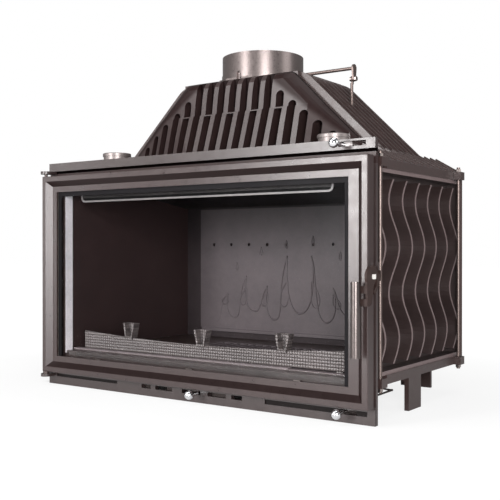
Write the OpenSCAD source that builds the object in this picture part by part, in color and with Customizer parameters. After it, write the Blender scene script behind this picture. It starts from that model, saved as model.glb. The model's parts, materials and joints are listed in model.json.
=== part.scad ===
// Cast-iron fireplace insert with a glazed door, a finned heat-exchanger hood and a round flue collar.
// The origin is the middle of the front frame's bottom edge: +X right, +Y towards the back, +Z up.

/* [Front frame] */
// Width of the front frame
frame_w = 905; // [860:5:960]
// Height of the front frame
frame_h = 549; // [530:1:570]
// Thickness of the frame's main plate
plate_t = 8; // [6:0.5:10]
// Height by which the top strip and the skirt stand proud of the plate
face_raise = 4; // [3:0.5:5]
// Height of the light strip along the top edge
strip_h = 20; // [18:1:24]
// Height of the dark groove between the strip and the door
groove_h = 14; // [12:0.5:18]
// Height of the skirt below the door
skirt_h = 31; // [29:1:36]
// Distance from the frame's side edge in to the opening
opening_side = 60.5; // [56:0.5:66]
// Height of the opening's sill above the floor
sill_z = 86; // [84:1:90]
// Distance from the frame's top edge down to the opening
opening_head = 75; // [70:1:84]
// Wall thickness of the opening's jambs
jamb_t = 6; // [5:0.5:7]
// Depth of the jambs
jamb_d = 25; // [20:1:28]

/* [Body] */
// Distance from the frame's edge in to the body's side
side_inset = 12; // [9:1:16]
// Depth from the front face to the back of the rear plate
body_d = 478; // [450:2:510]
// Height of the body's underside above the floor
base_z = 69; // [66:1:72]
// Height of the lips on the base and top plates
lip_h = 18; // [16:1:20]
// Width of those lips
lip_w = 15; // [12:1:18]
// Thickness of the base plate
base_t = 10; // [8:0.5:12]
// Thickness of the top plate
top_t = 8; // [6:0.5:10]
// Height from the frame's top edge down to the deck
deck_drop = 3; // [3:1:5]
// Height of the sloping shoulder at each side of the deck
shoulder_h = 32; // [26:1:36]
// Width of the shoulder
shoulder_w = 60; // [58:1:62]
// Distance behind the front face at which the side lips start
lip_start = 75; // [60:1:90]
// Wall thickness of the side plates
side_t = 8; // [6:0.5:10]
// Depth of the side plate from its outer face in to the back of its wall
side_depth = 37; // [32:1:42]
// Thickness of the back plate
back_t = 8; // [6:0.5:10]

/* [Wavy ribs] */
// Number of wavy ribs on a side plate
wave_count = 7; // [5:1:7]
// Thickness of a wavy rib
wave_t = 6; // [4:0.5:8]
// Distance from the middle of the wave to its crest
wave_amp = 24.5; // [15:0.5:28]
// Length of one wave
wave_len = 186; // [150:2:220]
// Clear height between a rib's end and the side plate's edge
wave_end = 19; // [12:1:30]

/* [Heat exchanger] */
// Height of the hood above the deck
hood_h = 195; // [180:1:210]
// Distance from the deck's side edge in to the hood's foot
hood_side = 1.5; // [1:0.5:8]
// Angle of the hood's sides from level
hood_slope = 44; // [42:0.5:48]
// Radius where the side runs into the top
hood_r = 60; // [40:1:70]
// Distance from the front face to the hood's front rim
hood_y0 = 186; // [182:1:192]
// Depth of the hood from rim to rim
hood_d = 204; // [200:2:220]
// Width of the rims and depth of the side ribs
rim_w = 17; // [14:0.5:20]
// Distance from the hood's front wall back to its front rim
rim_back = 11; // [8:0.5:14]
// Thickness of the front and rear rims
rim_t = 8; // [6:0.5:10]
// Wall thickness of the hood
hood_t = 6; // [5:0.5:8]
// Number of ribs on the hood's sides
hood_ribs = 6; // [2:2:6]
// Thickness of those ribs
hood_rib_t = 5; // [4:0.5:7]
// Pitch of the upright slots in the hood's front
slot_pitch = 33.5; // [32:0.5:34.5]
// Width of an upright slot
slot_w = 20.5; // [14:0.5:23]
// Number of upright slots
slot_count = 17; // [11:2:17]
// Distance by which the foot of the bulging front stands in front of the hood
bulge_d = 71; // [55:1:85]

/* [Flue] */
// Outer radius of the flue collar
flue_r = 100; // [90:0.5:100]
// Wall thickness of the collar
flue_t = 6; // [5:0.5:8]
// Height of the collar above the hood
flue_h = 65; // [55:1:80]
// Radius of the damper shaft
shaft_r = 4; // [3:0.25:5]
// Height of the shaft above the hood's top
shaft_rise = 12.5; // [12:0.5:18]
// Distance from the hood's side wall, where the drop rod ends, out to the crank
crank_gap = 18; // [17:0.5:26]
// Distance between the crank's two axes
crank_len = 25; // [20:0.5:28]

/* [Door] */
// Distance from the frame's side edge in to the door's edge
door_side = 2.5; // [2:0.5:6]
// Distance that the door stands forward of the frame's face
door_proud = 26; // [25:0.5:30]
// Width of the door's outer border
border_w = 13.5; // [12:0.5:15]
// Width of the sloping channel inside the border
channel_w = 12; // [10:0.5:13]
// Depth of that channel
channel_d = 12.5; // [11:0.5:13]
// Width of the inner border
inner_w = 13.5; // [11:0.5:15]
// Extra width of the inner border on the handle's side
stile_extra = 8.5; // [4:0.5:10]
// Thickness of the glass
glass_t = 4; // [3.5:0.5:4]
// Radius of the hinge pins
hinge_r = 4; // [3:0.25:4.5]
// Thickness of the hinge lugs
lug_t = 7; // [5:0.5:8]

/* [Handle] */
// Radius of the steel grip
grip_r = 9; // [7:0.5:10]
// Length of the grip
grip_len = 142; // [130:1:160]
// Distance of the grip's axis in front of the door
grip_stand = 24; // [22:0.5:30]
// Height of the handle's pivot above the door's middle
pivot_rise = 11; // [6:1:26]
// Thickness of the cast lever
lever_t = 4.5; // [4:0.5:6]

/* [Hearth] */
// Height of the log guard's ends
guard_h = 42; // [36:1:48]
// Height that the guard dips towards its middle
guard_dip = 13; // [6:1:14]
// Distance from the jambs back to the guard
guard_gap = 17; // [17:1:22]
// Distance from the opening's side to the guard's end
guard_side = 24; // [20:1:42]
// Height of the guard's posts
post_h = 34; // [26:1:40]
// Length of the grate
grate_w = 340; // [300:2:380]
// Depth of the grate
grate_d = 220; // [180:2:240]
// Number of bars in the grate
grate_bars = 12; // [8:1:14]

/* [Fittings] */
// Radius of the tie rods
rod_r = 4; // [3:0.25:5]
// Distance from the body's side out to the rods
rod_out = 6.5; // [6.5:0.5:8]
// Radius of the ball knobs
knob_r = 10; // [8:0.5:11]
// Radius of the caps on the deck
cap_r = 35; // [30:0.5:37]
// Distance from the deck's side edge in to the middle of each cap
cap_side = 70.5; // [60:0.5:80]
// Width of a side leg
leg_w = 62; // [50:1:80]
// Thickness of the legs
leg_t = 10; // [8:0.5:12]
// Width of a rear leg
rear_leg_w = 78; // [60:1:90]

/* [Hidden] */
$fn = 48;

// Colours of the materials
iron = [0.31, 0.27, 0.26];
dark_iron = [0.2, 0.17, 0.165];
steel = [0.72, 0.72, 0.72];
chrome = [0.85, 0.85, 0.87];
rope = [0.55, 0.54, 0.5];

// Overlap that joins two shapes of one piece
lap = 0.5;
// Gap between a curved piece and its seat on another body
seat_gap = 0.3;
// Radial clearance of a pin that turns in its bore
running = 0.06;
// Clearance beside a sliding piece
slide_gap = 1;

frame_y1 = face_raise + plate_t;
jamb_y0 = -1;
jamb_y1 = jamb_y0 + jamb_d;
opening_w = frame_w - 2 * opening_side;
opening_h = frame_h - opening_head - sill_z;
body_x = frame_w / 2 - side_inset;
rear_y = body_d - back_t;
lip_z = base_z + lip_h;
deck_z = frame_h - deck_drop;
shoulder_z = deck_z - shoulder_h;
top_lip_z = shoulder_z - lip_h;
side_x = body_x - 2.5;
wall_x = side_x - side_depth;

deck_x = body_x - shoulder_w;
hood_top = deck_z + hood_h;
hood_flat = deck_x - hood_side - hood_r * sin(hood_slope)
    - (hood_h - hood_r + hood_r * cos(hood_slope)) / tan(hood_slope);
flue_y = hood_y0 + hood_d / 2;
cap_x = deck_x - cap_side;
guard_y = jamb_y1 + guard_gap;
guard_w = opening_w - 2 * guard_side;

door_w = frame_w - 2 * door_side;
door_z0 = skirt_h + 2;
door_z1 = frame_h - strip_h - groove_h;
door_back = face_raise - 2;
glass_y = -door_proud + channel_d + 4.3 + 1.2;
rebate_d = border_w + channel_w + 4.5;
door_in = border_w + channel_w + inner_w;

hinge_x = -door_w / 2 + 7;
hinge_y = -door_proud + 7;

// Point on the hood's outline where the flat top ends, and where the side's slope starts
function hood_arc(inset, turn) = [
    hood_flat + (hood_r - inset) * sin(turn),
    hood_top - hood_r + (hood_r - inset) * cos(turn)];
// Half-width of the hood's sloping side at a height
function hood_x(z, inset = 0) = let (p = hood_arc(inset, hood_slope))
    p.x + (p.y - z) / tan(hood_slope);
// Right half of the hood's outline, from its foot up to the top
function hood_half(inset, foot) = concat([[hood_x(foot, inset), foot]],
    [for (i = [6:-1:0]) hood_arc(inset, hood_slope * i / 6)]);
// Whole outline of the hood, symmetric about the middle
function hood_outline(inset, foot) = let (h = hood_half(inset, foot), n = len(h) - 1)
    concat(h, [for (i = [n:-1:0]) [-h[i].x, h[i].y]]);

// Extrudes a shape drawn in X and Z from y0 to y1
module along_y(y0, y1) translate([0, y1, 0]) rotate([90, 0, 0]) linear_extrude(y1 - y0) children();

// Extrudes a shape drawn in Y and Z from x0 to x1
module along_x(x0, x1) translate([x0, 0, 0]) rotate([90, 0, 90]) linear_extrude(x1 - x0) children();

// Copies a shape to both sides of the middle
module both_sides() { children(); mirror([1, 0, 0]) children(); }

// Block given by its two opposite corners
module block(a, b) translate(a) cube(b - a);

// Round bar between two points on a line along X, Y or Z
module bar_x(x0, x1, y, z, r) translate([x0, y, z]) rotate([0, 90, 0]) cylinder(h = x1 - x0, r = r);
module bar_y(y0, y1, x, z, r) translate([x, y1, z]) rotate([90, 0, 0]) cylinder(h = y1 - y0, r = r);
module bar_z(z0, z1, x, y, r) translate([x, y, z0]) cylinder(h = z1 - z0, r = r);

// Hexagon nut or bolt head with its base on z = 0
module hex(across, height) cylinder(h = height, r = across / 2 / cos(30), $fn = 6);

// Front frame: plate, proud strip and skirt, jambs round the opening
window_w = 50;
window_side_w = 28;
window_z0 = 17;
window_z1 = window_z0 + 9;
window_xs = [-75, 75];
window_end_xs = [-128, 128];
centre_stem_x = 24;
recess_x1 = frame_w / 2 - 16.5;
recess_w = 236;
recess_x0 = recess_x1 - recess_w;
right_stem_x = recess_x1 - 50;
left_recess_x = frame_w / 2 - 27.5;
left_recess_w = 206;
recess_z0 = 16;
recess_z1 = 26;
control_x = frame_w / 2 - 72.5;
control_z = frame_h - 9;
control_travel = 46;
stem_r = 4;

module skirt_windows() {
    for (x = window_xs)
        block([x - window_w / 2, -lap, window_z0], [x + window_w / 2, frame_y1 + lap, window_z1]);
    for (x = window_end_xs)
        block([x - window_side_w / 2, -lap, window_z0], [x + window_side_w / 2, frame_y1 + lap, window_z1]);
    block([-22, -lap, window_z0], [31, frame_y1 + lap, window_z1]);
}

module front_frame() color(iron) difference() {
    union() {
        block([-frame_w / 2, face_raise, 0], [frame_w / 2, frame_y1, frame_h]);
        block([-frame_w / 2, 0, 0], [frame_w / 2, face_raise + lap, skirt_h]);
        block([-frame_w / 2, 0, frame_h - strip_h], [frame_w / 2, face_raise + lap, frame_h]);
        block([-opening_w / 2 - jamb_t, jamb_y0, sill_z - jamb_t],
            [opening_w / 2 + jamb_t, jamb_y1, sill_z + opening_h + jamb_t]);
    }
    block([-opening_w / 2, jamb_y0 - lap, sill_z], [opening_w / 2, jamb_y1 + lap, sill_z + opening_h]);
    skirt_windows();
    block([recess_x0, -lap, recess_z0], [recess_x1, 2.5, recess_z1]);
    block([-left_recess_x, -lap, recess_z0 + 3], [left_recess_w - left_recess_x, 2.5, recess_z1]);
    block([right_stem_x - 8, -lap, recess_z0], [right_stem_x + 26, frame_y1 + lap, recess_z1]);
    block([control_x - stem_r - 3, -lap, control_z - stem_r - 1],
        [control_x + control_travel + stem_r + 3, frame_y1 + lap, control_z + stem_r + 1]);
}

// Tie rods stand outside the side plates, in ears on the base and top plates
rod_x = body_x + rod_out;
rod_ys = [32, body_d - 41];
ear_x1 = rod_x + rod_r + 6;
ear_half = 12;
nut_w = 11;
nut_h = 7;

module ears(z0, z1) both_sides() for (y = rod_ys)
    difference() {
        block([body_x - lip_w - 5, y - ear_half, z0], [ear_x1, y + ear_half, z1]);
        bar_z(z0 - lap, z1 + lap, rod_x, y, rod_r + 0.5);
    }

module tie_rods() color(steel) both_sides() for (y = rod_ys)
    bar_z(base_z - nut_h - 3, shoulder_z + nut_h + 4, rod_x, y, rod_r);

module tie_rod_nuts() color(steel) both_sides() for (y = rod_ys) translate([rod_x, y, 0]) difference() {
    union() {
        translate([0, 0, shoulder_z]) hex(nut_w, nut_h);
        translate([0, 0, base_z - nut_h]) hex(nut_w, nut_h);
    }
    translate([0, 0, base_z - nut_h - 1]) cylinder(h = shoulder_z - base_z + 2 * nut_h + 2, r = rod_r);
}

// Base plate with an opening for the grate and a ledge round it
grate_y = 240;
ledge_w = 12;
ledge_t = 5;
notch_x = opening_w / 2 + jamb_t + 1;

module base_plate() color(iron) {
    difference() {
        union() {
            block([-body_x + lip_w, frame_y1, lip_z - base_t], [body_x - lip_w, rear_y, lip_z]);
            both_sides() block([body_x - lip_w - lap, lip_start, base_z], [body_x, rear_y, lip_z]);
            block([-body_x + lip_w, rear_y - lip_w, base_z], [body_x - lip_w, rear_y, lip_z]);
        }
        block([-grate_w / 2, grate_y - grate_d / 2, base_z],
            [grate_w / 2, grate_y + grate_d / 2, lip_z + lap]);
        block([-notch_x, frame_y1 - lap, base_z], [notch_x, jamb_y1 + 0.3, lip_z + lap]);
    }
    difference() {
        translate([0, grate_y, lip_z - base_t])
            block([-grate_w / 2 - lap, -grate_d / 2 - lap, 0],
                [grate_w / 2 + lap, grate_d / 2 + lap, ledge_t]);
        translate([0, grate_y, lip_z - base_t - lap])
            block([-grate_w / 2 + ledge_w, -grate_d / 2 + ledge_w, 0],
                [grate_w / 2 - ledge_w, grate_d / 2 - ledge_w, ledge_t + 2 * lap]);
    }
    ears(base_z, lip_z);
}

// Top plate: deck, sloping shoulders with fins, side lips
fin_t = 5;
fin_h = 5;
fin_count = 12;
fin_y0 = 84;
pocket_x = control_x - 28;
pocket_y = 46;
pocket_z = control_z - 13;
hood_hole = [deck_x - 80.5, hood_d / 2 - 18];

function top_outline(inset) = [
    [-body_x + inset, top_lip_z], [-body_x + inset, shoulder_z - inset * 0.2],
    [-deck_x + inset * 0.2, deck_z - inset], [deck_x - inset * 0.2, deck_z - inset],
    [body_x - inset, shoulder_z - inset * 0.2], [body_x - inset, top_lip_z]];

module top_plate() color(iron) {
    difference() {
        along_y(frame_y1, rear_y) polygon(top_outline(0));
        along_y(frame_y1 - lap, rear_y + lap) polygon([
            [-body_x + lip_w, top_lip_z - lap], [-body_x + lip_w, shoulder_z - top_t],
            [-deck_x, deck_z - top_t], [deck_x, deck_z - top_t],
            [body_x - lip_w, shoulder_z - top_t], [body_x - lip_w, top_lip_z - lap]]);
        both_sides() {
            block([body_x - lip_w, frame_y1 - lap, top_lip_z - lap], [body_x + lap, lip_start, deck_z]);
            bar_z(deck_z - 2 * top_t, deck_z + lap, cap_x, cap_y, cap_r - 6);
        }
        block([-hood_hole.x, flue_y - hood_hole.y, deck_z - 2 * top_t],
            [hood_hole.x, flue_y + hood_hole.y, deck_z + lap]);
        block([pocket_x, frame_y1 - lap, pocket_z], [body_x + lap, pocket_y, deck_z + lap]);
    }
    difference() {
        block([pocket_x - 6, frame_y1, pocket_z - 8], [body_x - lip_w, pocket_y + 6, deck_z - lap]);
        block([pocket_x, frame_y1 - lap, pocket_z], [body_x + lap, pocket_y, deck_z + lap]);
        along_y(pocket_y - lap, pocket_y + 7) polygon([[deck_x, deck_z - 0.1], [body_x, shoulder_z],
            [body_x, deck_z + 9], [deck_x - 30, deck_z + 9], [deck_x - 30, deck_z - 0.1]]);
    }
    both_sides() for (i = [0:fin_count - 1]) let (y = fin_y0 + i * (rear_y - 12 - fin_y0) / (fin_count - 1))
        along_y(y, y + fin_t) polygon([[deck_x, deck_z - lap], [deck_x + 2, deck_z + fin_h],
            [body_x - 3, shoulder_z + fin_h], [body_x - 0.5, shoulder_z - lap]]);
    ears(top_lip_z, shoulder_z);
}

// Side plates: a wall set in from the body's side, a border and wavy ribs out to the side
wave_margin = 14;
wave_pitch = (rear_y - frame_y1 - 2 * wave_margin - 2 * wave_amp) / (wave_count - 1);
wave_steps = 18;
wave_z0 = lip_z + wave_end;
wave_z1 = top_lip_z - wave_end;
wave_n = ceil((wave_z1 - wave_z0) / wave_len * wave_steps);
wave_crest_z = (lip_z + top_lip_z) / 2 + 49.5;

function wave_y(z) = wave_amp * cos(360 * (z - wave_crest_z) / wave_len);
wave_zs = [for (i = [0:wave_n]) wave_z0 + (wave_z1 - wave_z0) * i / wave_n];

module wave(y) polygon(concat(
    [for (z = wave_zs) [y + wave_y(z) - wave_t / 2, z]],
    [for (i = [wave_n:-1:0]) [y + wave_y(wave_zs[i]) + wave_t / 2, wave_zs[i]]]));

border_t = 8;

module side_plate() color(dark_iron) {
    difference() {
        block([wall_x, frame_y1, lip_z], [side_x, rear_y, top_lip_z]);
        block([wall_x + side_t, frame_y1 + border_t, lip_z + border_t],
            [side_x + lap, rear_y - border_t, top_lip_z - border_t]);
    }
    for (i = [0:wave_count - 1])
        along_x(wall_x + side_t - lap, side_x)
            wave(frame_y1 + wave_margin + wave_amp + i * wave_pitch);
}

module side_plate_right() side_plate();
module side_plate_left() mirror([1, 0, 0]) side_plate();

// Back plate with plain upright ribs behind it
back_rib_count = 9;
back_rib_h = 6;

module back_plate() color(dark_iron) {
    along_y(rear_y, body_d) polygon([[-body_x, base_z], [body_x, base_z], [body_x, shoulder_z],
        [deck_x, deck_z], [-deck_x, deck_z], [-body_x, shoulder_z]]);
    for (i = [0:back_rib_count - 1]) let (x = (2 * i / (back_rib_count - 1) - 1) * (body_x - 60))
        block([x - 3, body_d - lap, lip_z + 40], [x + 3, body_d + back_rib_h, top_lip_z - 10]);
    both_sides() block([deck_x - 54, rear_y, deck_z - lap], [deck_x - 26, body_d, deck_z + 10]);
}

// Hood: hollow casting with rims and side ribs
hood_y1 = hood_y0 + hood_d;
hood_foot_x = hood_x(deck_z);
rim_y0 = hood_y0 + rim_back;
rib_span = hood_y1 - rim_t - rim_y0 - rim_t;
wall_end_y = hood_y0 + rim_t;

module hood_rib(i) let (y = rim_y0 + rim_t + (rib_span + hood_rib_t) * i / (hood_ribs + 1) - hood_rib_t)
    along_y(y, y + hood_rib_t) polygon(hood_outline(0, deck_z));

module hood() color(iron) difference() {
    union() {
        along_y(hood_y0, hood_y1) polygon(hood_outline(rim_w, deck_z));
        along_y(rim_y0, rim_y0 + rim_t) polygon(hood_outline(0, deck_z));
        along_y(hood_y1 - rim_t, hood_y1) polygon(hood_outline(0, deck_z));
        intersection() {
            for (i = [1:hood_ribs]) hood_rib(i);
            both_sides() block([hood_flat, hood_y0, deck_z], [hood_foot_x, hood_y1, hood_top]);
        }
        block([-hood_flat - 12, hood_y0, hood_top - rim_w - lap], [hood_flat + 12, hood_y1, hood_top]);
    }
    along_y(wall_end_y, hood_y1 - rim_t) intersection() {
        polygon(hood_outline(rim_w + hood_t, deck_z - 1));
        translate([-hood_hole.x, 0]) square([2 * hood_hole.x, hood_top - rim_w]);
    }
    block([-hood_flat + 12, wall_end_y, hood_top - 50], [hood_flat - 12, hood_y1 - rim_t, hood_top - 8]);
    bar_z(hood_top - 60, hood_top + lap, 0, flue_y, flue_r - flue_t);
}

// Hood front: a bulging casting with upright slots that bolts to the hood's front wall.
// It leans back, rounds over at the top and falls away steeply to the rim at each side.
web_t = 3;
edge_run = 32;
ledge_h = hood_h - 84;
ledge_z = deck_z + ledge_h;
bridge_t = 3;
slot_in = 23.5;
slot_fall = 0.76;

// Levels of the front: height above the deck, share of its full depth, distance drawn in at the sides
low_levels = [[0, 1, 0], [ledge_h, 0.49, 0]];
high_levels = [[ledge_h - 0.02, 0.44, 0], [hood_h - 39, 0.35, 0], [hood_h - 17, 0.28, 4],
    [hood_h - 6, 0.18, 12], [hood_h, 0.03, 22]];

// Share of its depth that the front keeps at a distance from its middle
function bulge_share(x) = max(0.2, 1 - 0.0014 * pow(max(0, abs(x) - 105), 2) / bulge_d);

// Right half of the front's outline in plan at one of its levels
function bulge_half(l) = let (d = bulge_d * l[1], z = min(deck_z + l[0], hood_top - 20),
        x = hood_x(z, rim_w) - l[2], run = min(edge_run, 0.26 * x), e = d * bulge_share(x - run)) [
    [0, hood_y0], [0, hood_y0 - d], [100, hood_y0 - d * bulge_share(100)],
    [(100 + x - run) / 2, hood_y0 - d * bulge_share((100 + x - run) / 2)],
    [x - run, hood_y0 - e], [x - 0.7 * run, hood_y0 - 0.87 * e], [x - 0.4 * run, hood_y0 - 0.65 * e],
    [x - 0.15 * run, hood_y0 - 0.35 * e], [x, hood_y0]];

module both_sides2() { children(); mirror([1, 0]) children(); }

module bulge(levels) hull() for (l = levels) translate([0, 0, deck_z + max(0, l[0] - 0.02)])
    linear_extrude(0.02) both_sides2() polygon(bulge_half(l));

// Height of a slot's top: open in the middle, falling with the hood's side further out
function slot_top(x) = let (z = deck_z + slot_fall * (hood_x(deck_z, rim_w) - slot_in - abs(x)))
    z > hood_top - 30 ? hood_top + slot_w : z;

module hood_slot(x, z1, y0) {
    block([x - slot_w / 2, y0, deck_z + 6], [x + slot_w / 2, hood_y0 - web_t, z1 - slot_w / 2]);
    bar_y(y0, hood_y0 - web_t, x, z1 - slot_w / 2, slot_w / 2);
}

// Every second slot is bridged at the height of the ledge
module hood_slots() for (i = [0:slot_count - 1])
    let (k = i - (slot_count - 1) / 2, x = k * slot_pitch, z1 = slot_top(x), y0 = hood_y0 - bulge_d - 20)
    if (z1 > deck_z + slot_w + 6) difference() {
        hood_slot(x, z1, y0);
        if (k % 2 == 0 && z1 > ledge_z + slot_w)
            block([x - slot_w, y0 - lap, ledge_z - bridge_t], [x + slot_w, hood_y0, ledge_z]);
    }

module hood_front() color(iron) difference() {
    union() {
        bulge(low_levels);
        bulge(high_levels);
    }
    hood_slots();
}

// Flue collar: the bore holds the damper shaft across it
shaft_z = hood_top + shaft_rise;
root_rise = 7;
root_step = 1.5;
pocket_r = 6.5;
pocket_h = 13.5;
pocket_face = flue_y - flue_r + 2.5;

// Arched pocket in the foot of the collar with an upright peg on its face
module collar_pocket() difference() {
    union() {
        block([-pocket_r, flue_y - flue_r - 12, hood_top - lap], [pocket_r, pocket_face, hood_top + pocket_h]);
        bar_y(flue_y - flue_r - 12, pocket_face, 0, hood_top + pocket_h, pocket_r);
    }
    bar_z(hood_top - 2 * lap, hood_top + pocket_h, 0, pocket_face - 0.5, 2.5);
}

module flue_collar() color(iron) difference() {
    union() {
        bar_z(hood_top, hood_top + flue_h, 0, flue_y, flue_r);
        bar_z(hood_top, shaft_z + root_rise, 0, flue_y, flue_r + root_step);
        intersection() {
            bar_z(hood_top, hood_top + 5, 0, flue_y, flue_r + 9);
            block([-flue_r - 10, hood_y0, hood_top], [flue_r + 10, hood_y1, hood_top + 5]);
        }
    }
    bar_z(hood_top - lap, hood_top + flue_h + lap, 0, flue_y, flue_r - flue_t);
    bar_x(-flue_r - 8, flue_r + 8, flue_y, shaft_z, shaft_r + running);
    collar_pocket();
}

bolt_ring_r = flue_r + root_step + 3.9;

module hood_bolts() color(steel) for (a = [45:90:315])
    translate([bolt_ring_r * cos(a), flue_y + bolt_ring_r * sin(a), hood_top + 5]) hex(6, 4);

// Round caps that close the two holes in the deck
cap_y = 94;
cap_top = deck_z + 28;

module cap(x) color(iron) translate([x, cap_y, 0]) {
    translate([0, 0, deck_z - top_t]) cylinder(h = top_t + lap, r = cap_r - 6.5);
    translate([0, 0, deck_z]) cylinder(h = cap_top - deck_z - 7, r = cap_r - 2);
    translate([0, 0, cap_top - 7.5]) cylinder(h = 6, r = cap_r);
    translate([0, 0, cap_top - 1.5]) cylinder(h = 1.5, r1 = cap_r, r2 = cap_r - 1.5, $fn = 64);
}

module cap_left() cap(-cap_x);
module cap_right() cap(cap_x);

// Legs: one under each side lip, two broad ones on the back
side_leg_y = 209;
rear_leg_x = body_x - 118.5;

module side_leg() color(iron) {
    block([body_x - leg_t, side_leg_y - leg_w / 2, 0], [body_x, side_leg_y + leg_w / 2, base_z]);
    block([body_x - lip_w, side_leg_y - leg_w / 2, base_z - 8],
        [body_x - leg_t + lap, side_leg_y + leg_w / 2, base_z]);
}

module side_leg_right() side_leg();
module side_leg_left() mirror([1, 0, 0]) side_leg();

module rear_leg() color(iron)
    block([rear_leg_x - rear_leg_w / 2, body_d, 0],
        [rear_leg_x + rear_leg_w / 2, body_d + leg_t - 2, lip_z + 34]);

module rear_leg_right() rear_leg();
module rear_leg_left() mirror([1, 0, 0]) rear_leg();

module leg_bolts() color(steel) both_sides() for (x = [-20, 20])
    translate([rear_leg_x + x, body_d + leg_t - 2, lip_z + 12]) rotate([-90, 0, 0]) hex(13, 6);

// Fire back: border, raised panel and a row of air holes
fire_back_x = wall_x - 17;
panel_x = fire_back_x - 51;
panel_z0 = lip_z + 25;
panel_z1 = sill_z + opening_h - 27;
back_face = rear_y - 10;
border_face = rear_y - 7;
hole_z = panel_z1 - 99.5;
hole_r = 4.5;
hole_x0 = 42.5;
hole_pitch = 60.5;
hole_xs = [for (i = [0:4]) hole_x0 + i * hole_pitch];

module fire_back() color(dark_iron) difference() {
    union() {
        block([-fire_back_x, border_face, lip_z], [fire_back_x, rear_y - 2, top_lip_z - 5]);
        block([-panel_x, back_face, panel_z0], [panel_x, border_face + lap, panel_z1]);
        block([-panel_x + 8, back_face - 6, panel_z0 - 8], [panel_x - 8, border_face + lap, panel_z0]);
    }
    both_sides() for (x = hole_xs) bar_y(back_face - lap, rear_y - 1, x, hole_z, hole_r);
}

// Liners: plates that lean in a little towards the back, with sloping tops that carry the baffle
liner_t = 8;
liner_x0 = wall_x - 0.3;
liner_x1 = fire_back_x + liner_t + 0.4;
baffle_y0 = 150;
baffle_z0 = sill_z + opening_h + 24;
baffle_z1 = baffle_z0 - 46;
baffle_t = 8;

module liner() color(dark_iron) intersection() {
    translate([0, 0, lip_z]) linear_extrude(top_lip_z)
        polygon([[liner_x0 - liner_t, jamb_y1 + 1], [liner_x0, jamb_y1 + 1],
            [liner_x1, rear_y - 2], [liner_x1 - liner_t, rear_y - 2]]);
    along_x(0, wall_x) polygon([[jamb_y1 + 1, lip_z], [rear_y, lip_z], [rear_y, baffle_z1],
        [back_face - 5, baffle_z1], [baffle_y0, baffle_z0], [jamb_y1 + 1, baffle_z0]]);
}

module liner_right() liner();
module liner_left() mirror([1, 0, 0]) liner();

module smoke_baffle() color(dark_iron)
    along_x(-liner_x1 + 1, liner_x1 - 1) polygon([[baffle_y0, baffle_z0], [back_face - 5, baffle_z1],
        [back_face - 5, baffle_z1 + baffle_t], [baffle_y0, baffle_z0 + baffle_t]]);

// Air deflector under the head of the opening
deflector_w = opening_w - 76;
deflector_h = 24;
deflector_r = 12;

module deflector_shape(inset) translate([0, sill_z + opening_h]) {
    both_sides2() translate([deflector_w / 2 - deflector_r, -deflector_h + deflector_r])
        circle(deflector_r - inset);
    translate([-deflector_w / 2 + inset, -deflector_h + deflector_r])
        square([deflector_w - 2 * inset, deflector_h - deflector_r]);
    translate([-deflector_w / 2 + deflector_r, -deflector_h + inset])
        square([deflector_w - 2 * deflector_r, deflector_r]);
}

module air_deflector() color(dark_iron) {
    along_y(17.5, 21.5) deflector_shape(0);
    along_y(14.5, 18) difference() {
        deflector_shape(0);
        deflector_shape(4);
    }
}

// Sill plates in front of the log guard
sill_right_w = 151;
sill_joint = opening_w / 2 - sill_right_w;

module sill_left() color(dark_iron)
    block([-opening_w / 2 + 1, jamb_y1, lip_z], [sill_joint, guard_y - 1, lip_z + 4]);

module sill_right() color(dark_iron)
    block([sill_joint + 1, jamb_y1, lip_z], [opening_w / 2 - 1, guard_y - 1, lip_z + 1.5]);

// Log guard: a plate that dips towards its middle, with hollow posts and end feet
guard_t = 6;
post_pitch = 218;
post_xs = [-post_pitch, 0, post_pitch];
post_top_w = 36;
post_foot_w = 19;
post_d = 20;
guard_z0 = lip_z + 4.5;

function guard_top(x) = lip_z + 4 + guard_h - guard_dip * (1 - pow(abs(x) / (guard_w / 2), 2));

module post_shape(inset) polygon([[-post_foot_w / 2 + inset, -4], [post_foot_w / 2 - inset, -4],
    [post_top_w / 2 - inset, post_h + 4 * inset], [-post_top_w / 2 + inset, post_h + 4 * inset]]);

module guard_post(x) translate([x, guard_y, guard_top(x)]) difference() {
    translate([0, guard_t, 0]) along_y(-post_d / 2, post_d / 2) post_shape(0);
    translate([0, guard_t, 0]) along_y(-post_d / 2 - 1, post_d / 2 - 4) intersection() {
        post_shape(3.5);
        translate([-30, 2]) square([60, post_h + 20]);
    }
}

module log_guard() color(iron) {
    along_y(guard_y, guard_y + guard_t) polygon(concat(
        [[guard_w / 2, guard_z0], [-guard_w / 2, guard_z0]],
        [for (i = [-8:8]) [i * guard_w / 16, guard_top(i * guard_w / 16)]]));
    for (x = post_xs) guard_post(x);
    both_sides() block([guard_w / 2 - 22, guard_y, lip_z], [guard_w / 2 - 8, guard_y + 22, lip_z + 34]);
}

// Grate: a frame with bars, resting on the base plate's ledge
grate_t = 8;

module grate() color(dark_iron) translate([0, grate_y, lip_z - base_t + ledge_t]) {
    difference() {
        block([-grate_w / 2 + slide_gap, -grate_d / 2 + slide_gap, 0],
            [grate_w / 2 - slide_gap, grate_d / 2 - slide_gap, grate_t]);
        block([-grate_w / 2 + ledge_w + 4, -grate_d / 2 + ledge_w + 4, -lap],
            [grate_w / 2 - ledge_w - 4, grate_d / 2 - ledge_w - 4, grate_t + lap]);
    }
    for (i = [1:grate_bars]) let (x = (i / (grate_bars + 1) - 0.5) * (grate_w - 2 * ledge_w - 8))
        block([x - 5, -grate_d / 2 + ledge_w, 0], [x + 5, grate_d / 2 - ledge_w, grate_t]);
}

// Ash box under the base plate, with the ash pan in it
ash_wall = 3;
ash_z0 = 18;
ash_x = grate_w / 2 + 6;
ash_y = grate_d / 2 + 6;

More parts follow.
